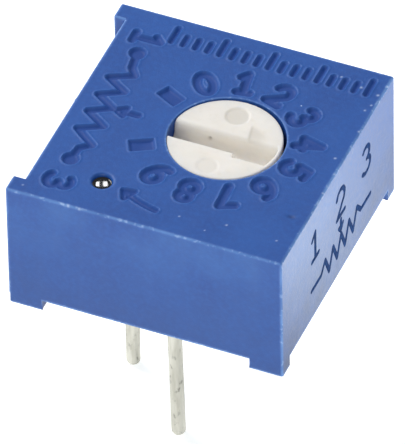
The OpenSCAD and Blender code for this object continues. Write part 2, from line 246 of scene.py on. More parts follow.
def new_material(name, patterns=(), numbers=()):
    """An empty material and its object coordinates, with a cloudy pattern for each (feature size
    in millimetres, detail), and each number that the mesh carries by name. A third number in a
    pattern squeezes heights by that factor, which draws its features out into upright streaks."""
    material = bpy.data.materials.new(name)
    material.use_nodes = True
    material.node_tree.nodes.clear()
    coords = add_node(material, "TexCoord", {}, "Object")
    clouds = []
    for size, detail, *squeeze in patterns:
        where = coords
        if squeeze:
            where = add_node(material, "Mapping", {"Vector": coords, "Scale": (1, 1, *squeeze)})
        clouds.append(add_node(material, "TexNoise", {"Vector": where, "Scale": per_metre(size),
                                                      "Detail": detail}))
    carried = [add_node(material, "Attribute", {}, FACTOR, attribute_name=key) for key in numbers]
    return material, coords, clouds, carried


def meeting(material, *reasons):
    """High only where all the reasons meet: the product of several values. A reason is (value,)
    as it stands, or (value, low, high, start, end), which goes from start to end while the value
    goes from low to high."""
    product = None
    for value, *ends in reasons:
        if ends:
            value = add_node(material, "MapRange", {0: value, **dict(enumerate(ends, 1))})
        product = value if product is None else add_node(
            material, "Math", {0: product, 1: value}, operation="MULTIPLY")
    return product


def layered(material, base, layers):
    """A base colour under thin layers: each is (colour, value, most, low, high), and its share
    rises from nothing where the value is low, or 0, to the most where it is high, or 1."""
    colour = linear(base)
    for tint, value, most, *span in layers:
        low, high = span or (0, 1)
        share = add_node(material, "MapRange", {0: value, 1: low, 2: high, 4: most})
        colour = add_node(material, "Mix", {0: share, 6: colour, 7: linear(tint)}, **MIX)
    return colour


def add_shader(material, colour, bumps, rough, **sockets):
    """Closes a material with its shader. A bump is (pattern, depth in millimetres) and rides on
    the one before it. Roughness is (pattern, least, most, and what is added to it). The sockets
    are named with underscores for spaces."""
    relief = {}
    for pattern, depth in bumps:
        relief = {"Normal": add_node(material, "Bump", {
            "Height": pattern, "Distance": depth * MM, **relief})}
    pattern, least, most, *coarser = rough
    roughness = add_node(material, "MapRange", {0: pattern, 1: 0.3, 2: 0.7, 3: least, 4: most})
    for more in coarser:
        roughness = add_node(material, "Math", {0: roughness, 1: more}, operation="ADD")
    surface = add_node(material, "BsdfPrincipled", {
        "Base Color": colour, "Roughness": roughness, **relief,
        **{key.replace("_", " "): value for key, value in sockets.items()}})
    add_node(material, "OutputMaterial", {"Surface": surface})
    print(material.name, len(material.node_tree.nodes), "nodes")
    return material


print("mid grey in linear light", linear("#808080")[0].round(3))

# %% [markdown]
# ## Blue housing: glass-filled polyester
#
# The box is moulded from PBT, a tough polyester with short glass fibres, coloured right through.
# A spark-eroded steel mould gives it a fine satin grain, and drawing the part from the mould
# leaves faint upright streaks on its walls. Moulded colour is never quite even: it clouds over a
# few millimetres. The colour is painted darker in patches low down and on the right side, a
# painted shade, and paler in patches on the upper front, a painted light. The thin outside edges
# turn pale where they rub in the tray of loose parts, and small chips show as light flecks; part of
# that paleness is a painted highlight, most of all on the right side and round the two holes. The
# floors of the engraved marks and the walls of the holes are painted darker, a painted shade, and
# the raised lip round each mark is painted paler, a painted highlight.
# The mesh carries numbers for that at each point: how far it lies into an engraving, how far up a
# lip, how close to an outside edge, and where the flecks and the one scuff are. A colour that
# follows the shape could also come from ambient occlusion, but numbers in the mesh go along when
# the part is exported.

# %% Blue moulding
PLASTIC_IOR = 1.5


def make_blue_moulding():
    """Satin blue PBT with grain, streaks, clouding, painted shade low down and in the marks, painted light
    on the upper front, pale edges that are partly rubbed and partly a painted highlight, and flecks.
    """
    # the real grain is about 0.03 mm, too fine to show, so it is drawn at 0.07 mm
    m, coords, clouds, numbers = new_material(
        "blue_glass_filled_polyester",
        [(2.2, 3), (0.16, 2), (0.4, 3, 0.12), (1.2, 4), (0.9, 5), (0.07, 2), (0.9, 2)],
        ["engraving", "lip", "edge", "fleck", "scuff"])
    cloud, fine, streak, blotch, patchy, grain, flow = clouds
    # the lip number also carries a painted highlight: #4C7FD0 lightens the lips round the marks
    sunk, lip, edge, fleck, scuff = numbers
    height = add_node(m, "SeparateXYZ", {0: coords}, "Z")
    normal = add_node(m, "NewGeometry", {}, "Normal")
    to_x, to_y, to_z = [add_node(m, "SeparateXYZ", {0: normal}, way) for way in "XYZ"]
    # painted shade: darker in patches, most of it low down and on the right side
    painted_low_shade = meeting(m, (blotch, 0.35, 0.65, 0.5, 1.0), (height, 0.2 * MM, 4.2 * MM, 0.38, 0.0),
                   (to_x, 0.6, 0.9, 1.0, 2.5))
    # painted light: paler in patches on the upper part of the front
    painted_front_light = meeting(m, (cloud, 0.4, 0.62, 0.0, 1.0), (to_y, -0.9, -0.6, 1.0, 0.0),
                   (height, 2.4 * MM, 4.6 * MM, 0.0, 0.07))
    # partly real wear, partly a painted highlight: it comes and goes over about a millimetre along an edge,
    # and has chips in it
    wear_and_painted_highlight = meeting(m, (edge,), (patchy, 0.38, 0.62, 0.34, 0.65))
    chips = meeting(m, (wear_and_painted_highlight,), (fine, 0.56, 0.7, 0.0, 1.0))
    # dust: one in a few cells of 0.9 mm holds a spot of about 0.03 mm
    cells = {"Vector": coords, "Scale": per_metre(0.9)}
    lot = add_node(m, "SeparateColor", {0: add_node(m, "TexVoronoi", cells, 1)})
    dust = meeting(m, (add_node(m, "TexVoronoi", cells), 0.02, 0.036, 1.0, 0.0),
                   (lot, 0.74, 0.76, 0.0, 1.0))
    dust = add_node(m, "Math", {0: dust, 1: fleck}, operation="MAXIMUM")
    # painted shade: #083C8E darkens the floors of the marks and, by the same number, the walls of the holes
    colour = layered(m, "#0A499B", [
        ("#1052A6", cloud, 1.0, 0.32, 0.68), ("#1E5FB4", fine, 0.45, 0.42, 0.72),
        ("#3F62A4", streak, 0.1, 0.5, 0.78), ("#0A3068", painted_low_shade, 1.0), ("#79B1DC", painted_front_light, 1.0),
        ("#083C8E", sunk, 0.7), ("#4C7FD0", lip, 0.32), ("#79A8EC", wear_and_painted_highlight, 1.0),
        ("#B9D4FA", chips, 1.0), ("#C6DAFB", dust, 0.8), ("#0B2C63", scuff, 0.6)])
    # the top and the floors of the marks were eroded more coarsely than the walls
    coarse = add_node(m, "MapRange", {0: to_z, 1: 0.6, 2: 0.9, 3: 0.0, 4: 0.12})
    coarse = add_node(m, "Math", {0: sunk, 1: 0.12, 2: coarse}, operation="MULTIPLY_ADD")
    return add_shader(m, colour, [(grain, 0.006), (flow, 0.014), (streak, 0.003)],
                      (fine, 0.39, 0.46, coarse), IOR=PLASTIC_IOR)


blue_moulding = make_blue_moulding()

# %% [markdown]
# ## Rotor: white moulded plastic
#
# The rotor is a high-temperature white plastic. It is matt, a little warm in colour, and lets
# light in a little way, so that the slot stays bright: light that enters the face comes out of
# the slot's walls. The moulded marks look a little greyer than the face, the slot is painted a
# little darker and yellower the deeper it goes, a painted shade, and faint smears and one small
# pit in the slot are soiled. The mesh carries a number for the marks, for the depth and for the pit.

# %% White moulding
def make_white_moulding():
    """Matt warm white with faint clouding, slightly greyer marks, smears and a fine grain."""
    m, _, (cloud, smear, grain, flow), (marked, deep, soil) = new_material(
        "white_moulded_plastic", [(0.8, 3), (0.25, 4), (0.08, 2), (0.6, 2)],
        ["mark", "depth", "soil"])
    # painted shade: #D9D1C3 darkens and warms the slot by its depth
    colour = layered(m, "#EEEAE3", [
        ("#F4F0EA", cloud, 1.0, 0.3, 0.7), ("#D2CDC3", marked, 0.5), ("#D9D1C3", deep, 0.1),
        ("#E2DDD4", smear, 0.3, 0.56, 0.75), ("#8A8376", soil, 1.0)])
    return add_shader(m, colour, [(grain, 0.004), (flow, 0.012)], (cloud, 0.42, 0.55),
                      IOR=PLASTIC_IOR, Subsurface_Weight=0.5, Subsurface_Scale=0.5 * MM,
                      Subsurface_Radius=(1.0, 0.9, 0.75))


white_moulding = make_white_moulding()

# %% [markdown]
# ## Metals: tinned wire, solder and the wiper
#
# Each metal uses Metallic 1 and the default IOR, so its base colour is the colour of its
# reflection. Hot-dipped tin is a warm light grey with a satin, slightly frosty skin. It is drawn
# out of the bath lengthwise, so its streaks run along the wire, and here and there flux left a
# small dark pit. The solder joints are the same tin, smoother. The wiper is a copper alloy with a
# thin gold flash.

# %% Metals
def make_metal(name, light, dark, patch_mm, squeeze, rough, dent_mm, pits=0.0):
    """Metal whose colour and roughness wander in patches, squeezed in height to make streaks,
    over soft dents and a finer frost, with a share of dark pits."""
    patterns = [(patch_mm, 4, squeeze), (patch_mm * 0.6, 3, squeeze), (patch_mm * 0.2, 2)]
    if pits:
        patterns.append((0.16, 3, 0.45))
    m, coords, (patch, dent, frost, *specks), _ = new_material(name, patterns)
    layers = [(dark, patch, 1.0, 0.38, 0.68)]
    for speck in specks:
        # the lower end was handled and plugged in, so the pits grow denser towards it
        plugged = add_node(m, "SeparateXYZ", {0: coords}, "Z")
        plugged = add_node(m, "MapRange", {0: plugged, 1: -6 * MM, 2: -2 * MM, 3: 0.025, 4: 0.0})
        speck = add_node(m, "Math", {0: speck, 1: plugged}, operation="ADD")
        layers.append(("#67665E", speck, pits, 0.6, 0.72))
    return add_shader(m, layered(m, light, layers), [(dent, dent_mm), (frost, dent_mm * 0.3)],
                      (patch, *rough), Metallic=1.0)


tinned_wire = make_metal("hot_dipped_tinned_wire", "#CDCBC0", "#B6B4A8", 0.22, 1 / 6, (0.32, 0.45),
                         0.004, 0.6)
solder = make_metal("tin_solder", "#D5D6D6", "#A6A7A8", 0.2, 1, (0.18, 0.35), 0.008)
wiper_alloy = make_metal("gold_flashed_copper_alloy", "#D9BE7E", "#B48E52", 0.3, 1, (0.22, 0.35),
                         0.003)

# %% [markdown]
# ## Rubber, ceramic, fired films, resin and ink
#
# These share one recipe: a colour that wanders between two near shades, and a bump at the size of
# the real grain. What differs is the roughness. Silicone rubber is dull. Alumina is a fine-grained
# fired ceramic. The track is printed cermet, glass with ruthenium oxide, and keeps the weave marks
# of the screen; the conductors are silver-palladium, printed the same way. The potting resin is
# black epoxy that cured with a skin like glass. The print on the side is stamping ink full of
# pigment, which dries dull and hardly shines even at a glancing angle.

# %% Other materials
def make_plain(name, light, dark, patch_mm, rough, grain_mm, depth_mm, **sockets):
    """A finish that wanders between two shades in patches, with one grain."""
    m, _, (patch, grain), _ = new_material(name, [(patch_mm, 3), (grain_mm, 2)])
    return add_shader(m, layered(m, light, [(dark, patch, 1.0, 0.35, 0.65)]), [(grain, depth_mm)],
                      (patch, *rough), **sockets)


seal_rubber = make_plain("silicone_rubber", "#2B2B2E", "#1E1E20", 0.3, (0.55, 0.7), 0.05, 0.003,
                         IOR=1.42)
alumina = make_plain("fired_alumina", "#F2F0EA", "#E2DFD6", 0.8, (0.4, 0.5), 0.04, 0.002, IOR=1.76)
cermet_film = make_plain("ruthenium_cermet", "#2E2E31", "#3D3C40", 0.2, (0.35, 0.5), 0.06, 0.002,
                         IOR=1.6)
conductor_film = make_plain("silver_palladium_film", "#C9C7BC", "#B1AEA2", 0.25, (0.3, 0.42), 0.06,
                            0.002, Metallic=1.0)
black_resin = make_plain("black_epoxy_resin", "#06070A", "#0B0D11", 0.9, (0.03, 0.06), 0.7, 0.001,
                         IOR=1.52)
navy_ink = make_plain("navy_stamping_ink", "#102D5E", "#25477F", 0.15, (0.6, 0.75), 0.07, 0.002,
                      IOR=1.4, Specular_IOR_Level=0.03)

for finish, nodes in ((seal_rubber, ["rotor_o_ring"]), (wiper_alloy, ["wiper_spring"]),
                      (alumina, ["ceramic_substrate"]), (cermet_film, ["resistive_track"]),
                      (conductor_film, ["end_conductor_1", "end_conductor_3", "wiper_collector"]),
                      (solder, ["solder_joint_1", "solder_joint_2", "solder_joint_3"])):
    for node in nodes:
        for place_in_mesh in frame["nodes"][node].material_slots:
            place_in_mesh.material = finish
print("finished the sealed pieces")

# %% [markdown]
# ## Marks in the top face
#
# The mould carries raised marks, so the part has them sunk about 0.1 mm deep, with soft edges and
# a faint raised lip where the plastic shrank round them. The set is generic: a resistor symbol
# with its wiper arrow, terminal numbers, a dial from 0 to 9, two blocks at the ends of travel, a
# scale of ticks and an arrow for the direction of turn.
#
# They could be cut as solids, but a height that depends on the distance to the nearest stroke
# gives the soft edge for free. A stroke is a polyline, and the distance to it is the distance to
# the foot of a perpendicular, held between the segment's ends.

# %% Stroke lettering
def arc(cx, cy, rx, ry, a0, a1, count=10):
    """Points on an ellipse from angle a0 to a1, in degrees: centre + (rx cos a, ry sin a)."""
    a = np.radians(np.linspace(a0, a1, count))
    return np.stack([cx + rx * np.cos(a), cy + ry * np.sin(a)], -1)


six = np.concatenate([[[0.52, 0.95]], arc(0.62, 0.32, 0.62, 0.68, 118, 176, 5),
                      arc(0.3, 0.31, 0.3, 0.31, 176, -184, 17)])
DIGITS = [      # the strokes of each digit, in a box 0.6 wide and 1 high
    [arc(0.3, 0.5, 0.3, 0.5, 0, 360, 21)],
    [np.array([[0.1, 0.8], [0.33, 1.0], [0.33, 0.0]]), np.array([[0.08, 0.0], [0.58, 0.0]])],
    [np.concatenate([arc(0.3, 0.7, 0.3, 0.3, 165, -35), [[0.0, 0.0], [0.6, 0.0]]])],
    [np.concatenate([arc(0.27, 0.75, 0.26, 0.25, 140, -75, 9),
                     arc(0.27, 0.27, 0.32, 0.27, 75, -145)])],
    [np.array([[0.42, 0.0], [0.42, 1.0], [0.0, 0.32], [0.6, 0.32]])],
    [np.concatenate([[[0.54, 1.0], [0.1, 1.0], [0.05, 0.56]],
                     arc(0.27, 0.33, 0.33, 0.33, 125, -140)])],
    [six],
    [np.array([[0.0, 1.0], [0.6, 1.0], [0.2, 0.0]])],
    [arc(0.3, 0.76, 0.25, 0.24, 0, 360, 15), arc(0.3, 0.27, 0.3, 0.27, 0, 360, 17)],
    [np.array([0.6, 1.0]) - six],
]


def placed(digit, centre, up_angle, height, width):
    """A digit's strokes, scaled and turned so that its up points at up_angle, with its middle on
    centre: centre + gx (sin u, -cos u) + gy (cos u, sin u)."""
    u = np.radians(up_angle)
    axes = np.array([[np.sin(u), -np.cos(u)], [np.cos(u), np.sin(u)]])
    return [centre + ((line - [0.3, 0.5]) * [width / 0.6, height]) @ axes for line in DIGITS[digit]]


def stroke_distance(x, y, lines):
    """Distance from each point to the nearest segment of the polylines."""
    nearest = np.full(np.shape(x), 99.0)
    for line in lines:
        for a, b in zip(line[:-1], line[1:]):
            run = b - a
            along = np.clip(((x - a[0]) * run[0] + (y - a[1]) * run[1]) / max(run @ run, 1e-12), 0, 1)
            nearest = np.minimum(nearest, np.hypot(x - a[0] - along * run[0], y - a[1] - along * run[1]))
    return nearest


def block_distance(x, y, centre, angle, size):
    """Signed distance to a turned rectangle: outside it the distance to its nearest point, inside
    it minus the distance to its nearest side."""
    a = np.radians(angle)
    u = np.abs((x - centre[0]) * np.cos(a) + (y - centre[1]) * np.sin(a)) - size[0] / 2
    v = np.abs((y - centre[1]) * np.cos(a) - (x - centre[0]) * np.sin(a)) - size[1] / 2
    return np.hypot(np.maximum(u, 0), np.maximum(v, 0)) + np.minimum(np.maximum(u, v), 0)


print("strokes of the digits", [len(lines) for lines in DIGITS])

# %% [markdown]
# The layout is what such a part needs: the symbol down the left side, the dial round the rotor
# with its tops outward, and the scale along the back. The dial reads clockwise, the way the
# pointer turns, and its ten numbers share the arc between the two end blocks.

# %% Layout of the marks
def polar(radius, degrees):
    """The point on a circle round the rotor's axis: axis + radius (cos a, sin a)."""
    return axis + radius * np.array([np.cos(np.radians(degrees)), np.sin(np.radians(degrees))])


symbol = [np.array([[-3.33, 2.71], [-3.23, 2.01], [-2.99, 1.68], [-3.74, 1.32], [-2.99, 0.85],
                    [-3.74, 0.45], [-3.04, 0.0], [-3.74, -0.4], [-2.98, -0.9], [-3.73, -1.28],
                    [-2.97, -1.86], [-3.3, -2.11], [-3.37, -2.69]]),
          np.array([[-2.15, -0.02], [-2.69, -0.02]])]
arrow_head = [np.array([[-2.6, 0.18], [-2.94, -0.02], [-2.6, -0.22], [-2.6, 0.18]]),
              np.array([[-2.68, 0.08], [-2.68, -0.12]])]
dots, dot_r = symbol[0][[0, -1]], 0.25
dial = [line for k, angle in enumerate(np.linspace(126, -121, 10))
        for line in placed(k, polar(2.7, angle), angle, 0.88, 0.5)]
terminal_numbers = (placed(1, np.array([-3.3, 3.47]), 0, 0.9, 0.48)
                    + placed(3, np.array([-3.31, -3.79]), 0, 0.85, 0.55))
ticks = [np.array([[x, 3.62], [x, 4.3 if k % 4 == 0 else 4.02]])
         for k, x in enumerate(np.linspace(-2.55, 4.25, 17))]
turn_r = 4.0
turn_arc = arc(*axis, turn_r, turn_r, -101, -117, 7)
turn_head = [np.array([turn_arc[-1] + (turn_arc[-1] - axis) * s, polar(turn_r, -121)])
             for s in (-0.055, 0, 0.055)]
turn_head.append(np.array([turn_head[0][0], turn_head[2][0]]))
strokes = [(symbol, 0.098), (arrow_head, 0.07), (dial, 0.125), (terminal_numbers, 0.11),
           (ticks, 0.07), ([turn_arc] + turn_head, 0.08)]      # each with half its stroke's width
block_size = 0.77, 0.46
end_blocks = [(polar(2.67, angle), angle) for angle in (153, -152)]


def engraving_edge(x, y):
    """Signed distance to the nearest engraved outline, negative inside: the smallest, over all
    marks, of distance to the stroke minus half the stroke's width."""
    edges = [stroke_distance(x, y, lines) - reach for lines, reach in strokes]
    edges += [np.hypot(x - dot[0], y - dot[1]) - dot_r for dot in dots]
    edges += [block_distance(x, y, centre, angle, block_size) for centre, angle in end_blocks]
    return np.min(edges, axis=0)


print(len(dial), "dial strokes,", len(ticks), "ticks")

# %% [markdown]
# ## The housing's skin
#
# The housing is one closed skin made of three kinds of grid. The top is a rectangular grid whose
# height is the engraving. The outside is a profile carried round the outline: an edge rounding,
# the wall, the foot or the wall's lower edge, and the cavity behind it. The rotor's hole is a
# profile carried round its axis: a rounding, the seal's seat and the chamber below. The vent hole
# is a small one of the same kind, and a band of triangles closes the ceiling round the chamber.
#
# The grids meet in shared points. The top's grid lines run through every corner of the outline,
# and where a round hole cuts the grid, the stepped rim of the cut is drawn onto the circle.

# %% Shape helpers
def smooth_step(t):
    """0 below 0, 1 above 1, and 3t^2 - 2t^3 between, which starts and ends level."""
    t = np.clip(t, 0, 1)
    return t * t * (3 - 2 * t)


def spaced(breaks, step):
    """Grid lines through every break, with even gaps of about one step between breaks."""
    runs = [np.linspace(a, b, int(np.ceil((b - a) / step)) + 1)[:-1]
            for a, b in zip(breaks[:-1], breaks[1:])]
    return np.concatenate(runs + [breaks[-1:]])


def ripple(x, y, size, seed):
    """Gentle unevenness from -1 to 1: the mean of six sine waves of about the given length in
    seeded directions."""
    draw = np.random.default_rng(seed)
    turn = draw.uniform(0, 2 * np.pi, (2, 6))
    wave = 2 * np.pi / (size * draw.uniform(0.7, 1.4, 6))
    return sum(np.sin(w * (x * np.cos(a) + y * np.sin(a)) + b)
               for w, a, b in zip(wave, turn[0], turn[1])) / 6


print("gaps of about 0.3 from 0 to 1:", spaced(np.array([0, 1]), 0.3))

# %% Top face
edge_r = 0.07          # rounding of the outer edges
lip_r = 0.03           # rounding of the rotor hole's rim
# the rotor sits a little to the front left in its hole, so the gap shows on the right
opening_r, opening = 1.93, axis + np.array([0.044, 0.022])
well_r, vent_lip = 0.315, 0.12      # the vent hole has a soft, rounded crater
fade = 0.12            # width of the slope at the edge of a mark
mark_depth, lip_height = 0.09, 0.02
grid_step = 0.035
inner, post_line, recess_line = half - edge_r, post_y + edge_r, recess_x + edge_r
grid_x = spaced(np.array([-inner, recess_line, -foot_x, foot_x, inner]), grid_step)
grid_y = spaced(np.array([-inner, -foot_y, -post_line, post_line, foot_y, inner]), grid_step)


def top_height(x, y):
    """Height of the top face: flat, minus an engraving that is full depth inside a stroke and
    fades out at its edge, plus a lip just outside it, plus a slight waviness."""
    edge = engraving_edge(x, y)
    sunk = smooth_step(0.5 - edge / fade)
    lip = np.exp(-((edge - 0.07) / 0.026) ** 2)
    uneven = 0.002 * ripple(x, y, 2.5, 3)
    to_recess = np.maximum(x - recess_x, np.abs(y) - post_y)
    rim = np.minimum(np.minimum(half - np.abs(x), half - np.abs(y)), to_recess)
    calm = smooth_step((rim - edge_r) / 0.2)
    depth = mark_depth + 0.012 * ripple(x, y, 0.6, 4)
    return top_z + calm * (uneven + lip_height * lip - depth * sunk), sunk, lip


def cell_border(chosen):
    """Whether each point of a grid touches both a cell that is chosen and one that isn't."""
    around = np.pad(chosen, 1).astype(int)
    touching = around[1:, 1:] + around[:-1, 1:] + around[1:, :-1] + around[:-1, :-1]
    return ((touching > 0) & (touching < 4)).ravel()


def cut_rim(points, gone, centre, radius):
    """The grid points round a cut, drawn onto its circle and put in order of angle:
    centre + radius (p - centre)/|p - centre|."""
    rim = np.flatnonzero(cell_border(gone))
    reach = points[rim, :2] - centre
    angle = np.arctan2(reach[:, 1], reach[:, 0])
    points[rim, :2] = centre + radius * np.stack([np.cos(angle), np.sin(angle)], -1)
    order = np.argsort(angle)
    return rim[order], angle[order]


mesh_x, mesh_y = np.meshgrid(grid_x, grid_y, indexing="ij")
top_points = np.stack([mesh_x.ravel(), mesh_y.ravel(), np.zeros(mesh_x.size)], -1)
mid_x, mid_y = np.meshgrid((grid_x[1:] + grid_x[:-1]) / 2, (grid_y[1:] + grid_y[:-1]) / 2,
                           indexing="ij")
gone = (mid_x < recess_line) & (np.abs(mid_y) < post_line)
cuts = []
for centre, radius in ((opening, opening_r + lip_r), (vent, well_r + vent_lip)):
    in_hole = np.hypot(mid_x - centre[0], mid_y - centre[1]) < radius
    cuts.append(cut_rim(top_points, in_hole, centre, radius))
    gone |= in_hole
(hole_rim, hole_angle), (vent_rim, vent_angle) = cuts
top_points[:, 2], top_sunk, top_lip = top_height(top_points[:, 0], top_points[:, 1])
top_faces = grid_faces(len(grid_x), len(grid_y))[~gone.ravel()]
print("top grid", len(grid_x), "by", len(grid_y), "kept", len(top_faces), "quads")

# %% Outline of the housing
def outline(xs, ys, fan=4):
    """Base points and outward directions round the outline, inset by the edge's radius. At an
    outer corner the point repeats while its direction turns in even steps from one side's normal
    to the next, which rounds the upright edge; at an inner corner it is the sum of both normals.
    A point where a foot begins or ends is there twice, once for the wall and once for the foot."""
    corners = np.array([[-inner, -inner], [inner, -inner], [inner, inner], [-inner, inner],
                        [-inner, post_line], [recess_line, post_line],
                        [recess_line, -post_line], [-inner, -post_line]])
    bases, normals = [], []
    for k, start in enumerate(corners):
        end, before = corners[(k + 1) % 8], corners[k - 1]
        way, past = np.sign(end - start), np.sign(start - before)
        normal, past_normal = np.array([way[1], -way[0]]), np.array([past[1], -past[0]])
        if past[0] * way[1] - past[1] * way[0] > 0:
            turn = np.linspace(0, np.pi / 2, fan + 1)[:, None]
            normals.append(past_normal * np.cos(turn) + normal * np.sin(turn))
        else:
            normals.append(np.array([past_normal + normal]))
        bases.append(np.repeat(start[None], len(normals[-1]), 0))
        lines, along = (xs, 0) if way[0] else (ys, 1)
        low, high = sorted((start[along], end[along]))
        run = lines[(lines > low + 1e-6) & (lines < high - 1e-6)]
        side = np.repeat(start[None], len(run), 0)
        side[:, along] = run if way[along] > 0 else run[::-1]
        bases.append(side)
        normals.append(np.repeat(normal[None], len(run), 0))
    base, normal = np.concatenate(bases), np.concatenate(normals)
    middle = (base + np.roll(base, -1, 0)) / 2
    foot_after = (np.abs(middle[:, 0]) > foot_x) & (np.abs(middle[:, 1]) > foot_y)
    foot_before = np.roll(foot_after, 1)
    pick = np.repeat(np.arange(len(base)), 1 + (foot_after != foot_before))
    first = np.concatenate([[True], pick[1:] != pick[:-1]])
    return base[pick], normal[pick], np.where(first, foot_before[pick], foot_after[pick])


base, outward, is_foot = outline(grid_x, grid_y)
print("outline", len(base), "points, of which on feet", int(is_foot.sum()))

# %% [markdown]
# The profile is a list of rings from the top face to the cavity. Each ring is the outline moved
# outward by some distance, at some height. A foot stands on the board while the wall beside it
# stops 0.4 mm higher, so from that height on, the foot's points and the wall's points go
# different ways, and the quads between the two copies of a point form the foot's sides.

# %% Walls, feet and cavity
cavity_low = np.array([recess_x, -half]) + wall_t
cavity_high = half - wall_t
ceiling_z = plate_high[2]
wall_lines = 4.84, 4.78, 4.66, 4.4, 3.4, 2.4, 1.4, 0.7, 0.52, 0.44      # heights with a ring


def rounded(radius, height, size, way, count=5):
    """A quarter circle as (radius, height) pairs, from a level face to an upright wall of that
    radius: radius + way size (1 - sin t), height - size (1 - cos t). The way is 1 round a hole
    and -1 round a solid."""
    return [(radius + way * size * (1 - np.sin(t)), height - size * (1 - np.cos(t)))
            for t in np.linspace(0, np.pi / 2, count)]


def wall_rings():
    """Rings of the outside: points base + distance * outward at each height, then the foot's or
    the wall's underside, drawn in to the nearest edge of the cavity, and the cavity's wall."""
    in_recess_wall = (base[:, 0] == recess_line) & (np.abs(base[:, 1]) <= post_line)
    on_post_side = (np.abs(base[:, 1]) == post_line) & (base[:, 0] <= recess_line)

    def level(xy, height):
        return np.column_stack([xy, np.broadcast_to(height, len(base))])

    def ring(distance, height):
        xy = base + np.reshape(distance, (-1, 1)) * outward
        room = post_line - distance      # at an inner corner the neighbours stop where it now is
        xy[:, 1] = np.where(in_recess_wall, np.clip(xy[:, 1], -room, room), xy[:, 1])
        xy[:, 0] = np.where(on_post_side, np.minimum(xy[:, 0], recess_line - distance), xy[:, 0])
        return level(xy, height)

    rings = [ring(distance, z) for distance, z in rounded(edge_r, top_z, edge_r, -1)]
    rings += [ring(edge_r, z) for z in wall_lines]
    rings += [ring(np.where(is_foot, edge_r, edge_r - inset), z)
              for inset, z in ((0.012, wall_z + 0.012), (0.04, wall_z))]
    outside = rings[-1][:, :2].copy()
    outside[:, 0] = np.where(is_foot, np.maximum(outside[:, 0], foot_left), outside[:, 0])
    rings += [level(outside, np.where(is_foot, z, wall_z)) for z in (wall_z, 0.1, 0.03)]
    sole = np.where(is_foot, 0, wall_z)
    rings.append(level(outside + np.where(is_foot[:, None], -0.02 * np.sign(outside), 0), sole))
    further = np.clip(outside, 0.12 - half, half - 0.12)        # where the worn edge has ended
    further[:, 0] = np.where(in_recess_wall, recess_line + 0.05, further[:, 0])
    further[:, 1] = np.where(on_post_side, np.sign(base[:, 1]) * (post_line + 0.05), further[:, 1])
    beside = np.clip(base, [cavity_low[0] - 0.05, -foot_y], [cavity_high + 0.05, foot_y])
    under = np.where(is_foot[:, None], np.sign(base) * [foot_x, foot_y], beside)
    rings += [level(further, sole), level(under, sole), level(under, wall_z)]
    cavity = np.clip(under, cavity_low, cavity_high)
    return np.stack(rings + [level(cavity, z) for z in (wall_z, ceiling_z)])


rings = wall_rings()
# a speck of flash where the two halves of the mould met, half way along the recess
nub = (np.exp(-(rings[..., 1] / 0.05) ** 2 - ((rings[..., 2] - 4.82) / 0.07) ** 2)
       * (rings[..., 0] < recess_x + 0.1))
rings[1:, :, 0] -= 0.05 * nub[1:]
print("wall", rings.shape[0], "rings of", rings.shape[1])

# %% [markdown]
# Below the rotor's hole the skin follows the solid inside: the seat of the O-ring, the chamber
# with the block that stops the rotor's lug, and a pocket over the terminal on the left. The
# pocket's outline is the farther of the chamber's circle and a small circle round the pin.

# %% Hole, seat and chamber
stop_half = 14.5                     # half the stop block's angle
stop_r, stop_low = 2.71, 2.73
pocket_r, pocket_z = 0.55, 2.58


def lathe(centre, angle, profile):
    """Rings round an upright axis, one for each (radius, height) of a profile:
    centre + radius (cos a, sin a) at the height. Both may differ from angle to angle."""
    return np.stack([np.column_stack([centre[0] + radius * np.cos(angle),
                                      centre[1] + radius * np.sin(angle),
                                      np.broadcast_to(height, len(angle))])
                     for radius, height in profile])


def hole_rings(angle):
    """The hole's rounding, wall, seat, chamber and pocket, as rings that share their angles."""
    off_left = np.abs(np.mod(angle, 2 * np.pi) - np.pi)
    room = np.where(off_left < np.radians(stop_half), stop_r, chamber_r)
    to_pin = axis[0] - pins[2][0]
    aside = to_pin * np.sin(off_left)
    reach = to_pin * np.cos(off_left) + np.sqrt(np.maximum(pocket_r ** 2 - aside ** 2, 0))
    pocket = np.where((np.abs(aside) < pocket_r) & (off_left < 1),
                      np.maximum(reach, chamber_r), chamber_r)
    wall = [(opening_r, z) for z in (4.7, 4.4, seat_top)]
    inside = [(seat_r, seat_top), (seat_r, seat_floor), (room, seat_floor), (room, stop_low),
              (chamber_r, stop_low), (chamber_r, pocket_z), (pocket, pocket_z), (pocket, ceiling_z)]
    return np.concatenate([lathe(opening, angle, rounded(opening_r, top_z, lip_r, 1) + wall),
                           lathe(axis, angle, inside)])


def zip_faces(outer_angle, inner_angle, outer_first, inner_first):
    """Triangles between two rings with different counts. Going round by angle, each edge of one
    ring is joined to the point of the other ring that was passed last."""
    n, m = len(outer_angle), len(inner_angle)
    outer = np.append(np.unwrap(outer_angle) - outer_angle[0], 2 * np.pi)
    past = np.mod(inner_angle - outer_angle[0], 2 * np.pi)
    order = np.argsort(past)
    inside = np.append(past[order], past[order[0]] + 2 * np.pi)
    order = np.append(order, order[0])
    i, j = np.arange(n), np.arange(m)
    near = order[np.searchsorted(inside[1:], outer[1:])]
    far = np.searchsorted(outer[1:], inside[1:], "right") % n
    return np.concatenate([
        np.stack([outer_first + i, outer_first + (i + 1) % n, inner_first + near], -1),
        np.stack([inner_first + order[j + 1], inner_first + order[j], outer_first + far], -1)])


hole = hole_rings(hole_angle)
# the vent hole has a soft rim, a straight wall, and a floor drawn together to its middle
well_z = ceiling_z + 0.05
well = lathe(vent, vent_angle, rounded(well_r, top_z, vent_lip, 1, 6)
             + [(well_r, 4.6), (well_r, 4.2), (well_r, well_z), (0, well_z)])
# the rims take the top's own heights, so that the skins share their points
hole[0], well[0] = top_points[hole_rim], top_points[vent_rim]
print("hole", hole.shape[:2], "vent", well.shape[:2])

# %% [markdown]
# Three more numbers go with the points: how near each is to an exposed edge, and where the small
# accidents are, a few pale flecks and one dark scuff. On a box the distance to an edge is the
# second smallest of the distances to its faces.

